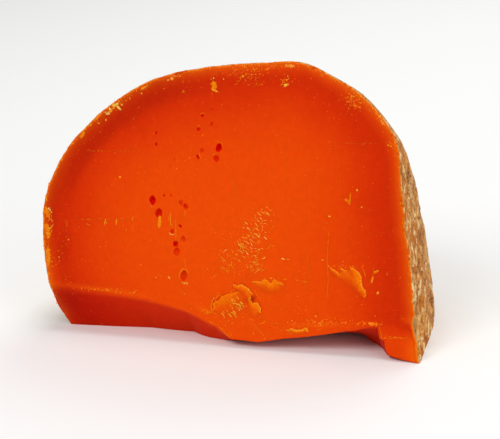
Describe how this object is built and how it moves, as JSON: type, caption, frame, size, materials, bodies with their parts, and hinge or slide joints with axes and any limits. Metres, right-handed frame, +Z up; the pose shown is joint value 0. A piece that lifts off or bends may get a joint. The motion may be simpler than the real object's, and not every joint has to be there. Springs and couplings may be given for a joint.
{
  "type": "mimolette cheese piece",
  "caption": "Cut piece of mimolette, a hard orange ball cheese: a large flat cut face with small eyes and knife flakes, and a domed, pitted rind behind it.",
  "frame": {"origin": "on the ground, under the middle of the piece's box", "axes": "+Z up, +X along the cut face towards the flat pole of the ball, the cut face looks towards -Y"},
  "size_m": [0.1594, 0.1002, 0.1132],
  "materials": {
    "paste": "smooth, slightly waxy orange cheese paste with a soft sheen"
  },
  "bodies": {
    "root": {"cheese": "paste"}
  },
  "joints": []
}
